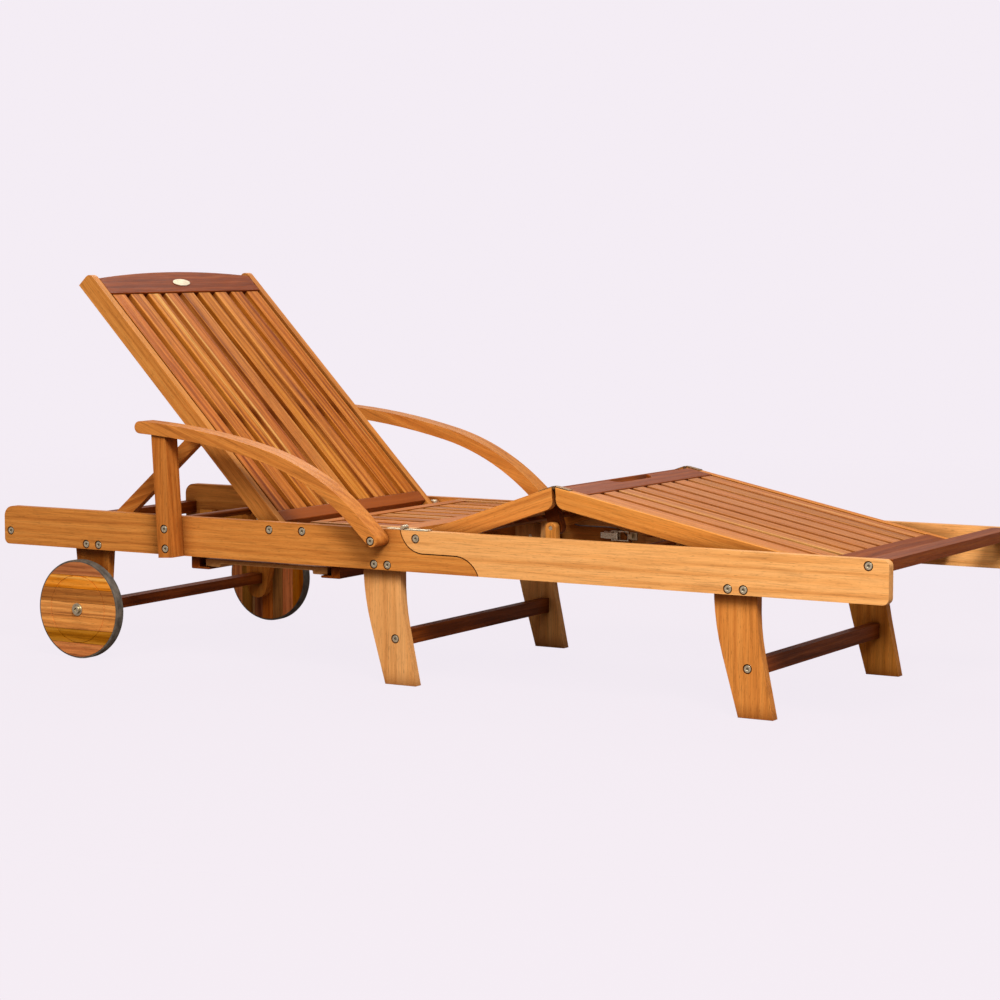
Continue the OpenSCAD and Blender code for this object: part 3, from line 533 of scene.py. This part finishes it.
def staved_wheel(side):
    """The wheel's disc, sawn into glued staves. The outermost cuts pass just outside it."""
    axis, grain, seed = WHEELS[side]
    name = "wheel_staves_" + side
    low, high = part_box("wheel_disc_" + side)
    pitch = (high[axis] - low[axis]) / STAVES
    whole = bmesh.new()
    for i in range(STAVES):
        start = low[axis] + i * pitch + (STAVE_GAP if i else -STAVE_GAP)
        end = low[axis] + (i + 1) * pitch - (STAVE_GAP if i < STAVES - 1 else -STAVE_GAP)
        stave = sawn_stave(nodes["wheel_disc_" + side].data, axis, start, end)
        whole.from_mesh(stave)
        bpy.data.meshes.remove(stave)
    bmesh.ops.recalc_face_normals(whole, faces=whole.faces)
    mesh = bpy.data.meshes.new(name)
    whole.to_mesh(mesh)
    whole.free()
    piece = bpy.data.objects.new(name, mesh)
    bpy.context.scene.collection.objects.link(piece)
    dress(piece, wood(name, "stave", grain, seed))
    soften(piece, STAVE_EDGE, 1)
    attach(piece, "wheel_" + side)
    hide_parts("wheel_disc_" + side)


def surroundings():
    """A pale backdrop for the camera, which lights the lounger only dimly and warmly."""
    world = bpy.data.worlds.new("studio")
    world.use_nodes = True
    bpy.context.scene.world = world
    tree = world.node_tree
    light = tree.nodes["Background"]
    light.inputs["Color"].default_value = ROOM_COLOUR
    light.inputs["Strength"].default_value = ROOM_STRENGTH
    seen = put(tree, "ShaderNodeBackground", {"Color": BACKDROP})
    rays = put(tree, "ShaderNodeLightPath").outputs
    share = multiply_add(tree, rays["Is Glossy Ray"], MIRRORED, rays["Is Camera Ray"])
    both = put(tree, "ShaderNodeMixShader", {0: share, 1: light.outputs[0], 2: seen.outputs[0]})
    tree.links.new(both.outputs[0], tree.nodes["World Output"].inputs["Surface"])


def floor_material():
    """Nearly the backdrop's colour to the camera, with faint shadows, and clear far from the lounger."""
    material, tree, shader = new_material("pale_floor")
    shader.inputs["Base Color"].default_value = FLOOR_COLOUR
    shader.inputs["Roughness"].default_value = 0.9
    glow = put(tree, "ShaderNodeEmission", {"Color": BACKDROP, "Strength": FLOOR_GLOW_STRENGTH})
    camera_ray = put(tree, "ShaderNodeLightPath").outputs["Is Camera Ray"]
    share = math_node(tree, "MULTIPLY", camera_ray, FLOOR_GLOW)
    seen = put(tree, "ShaderNodeMixShader", {0: share, 1: shader.outputs[0], 2: glow.outputs[0]})
    space = put(tree, "ShaderNodeTexCoord").outputs["Object"]
    distance = put(tree, "ShaderNodeVectorMath", {0: space}, operation="LENGTH").outputs["Value"]
    fade = map_range(tree, distance, From_Min=FLOOR_FADE[0], From_Max=FLOOR_FADE[1])
    clear = put(tree, "ShaderNodeBsdfTransparent")
    blend = put(tree, "ShaderNodeMixShader", {0: fade, 1: seen.outputs[0], 2: clear.outputs[0]})
    output = next(n for n in tree.nodes if n.type == "OUTPUT_MATERIAL")
    tree.links.new(blend.outputs[0], output.inputs["Surface"])
    return material


def pale_floor():
    mesh = bpy.data.meshes.new("floor")
    angles = [2 * math.pi * i / FLOOR_SIDES for i in range(FLOOR_SIDES)]
    rim = [(FLOOR_RADIUS * math.cos(a), FLOOR_RADIUS * math.sin(a), -FLOOR_DROP) for a in angles]
    mesh.from_pydata(rim, [], [list(range(FLOOR_SIDES))])
    mesh.materials.append(floor_material())
    floor = bpy.data.objects.new("floor", mesh)
    bpy.context.scene.collection.objects.link(floor)


def soft_lamps():
    for name, place, size, power in LAMPS:
        lamp = bpy.data.lights.new(name, "AREA")
        lamp.size = size
        lamp.energy = power
        lamp.color = LAMP_COLOUR
        holder = bpy.data.objects.new(name, lamp)
        bpy.context.scene.collection.objects.link(holder)
        holder.location = place
        facing = Vector(LAMP_TARGET) - Vector(place)
        holder.rotation_euler = facing.to_track_quat("-Z", "Y").to_euler()


def camera():
    """The camera stands low at the foot end's right, about five and a half metres away."""
    lens = bpy.data.cameras.new("camera")
    lens.lens = 98.6
    lens.sensor_width = 36.0
    lens.shift_x = 0.0023
    lens.shift_y = -0.0028
    holder = bpy.data.objects.new("camera", lens)
    bpy.context.scene.collection.objects.link(holder)
    holder.location = CAMERA_PLACE
    holder.rotation_euler = (math.radians(90 - CAMERA_DIP), 0, math.radians(CAMERA_TURN))
    bpy.context.scene.camera = holder


BOARD_NUMBERS = board_numbers()
finish_boards()
finish_metal()
finish_tyres()
for wheel_side in WHEELS:
    staved_wheel(wheel_side)
bpy.context.scene.view_settings.view_transform = "Standard"
surroundings()
pale_floor()
soft_lamps()
camera()
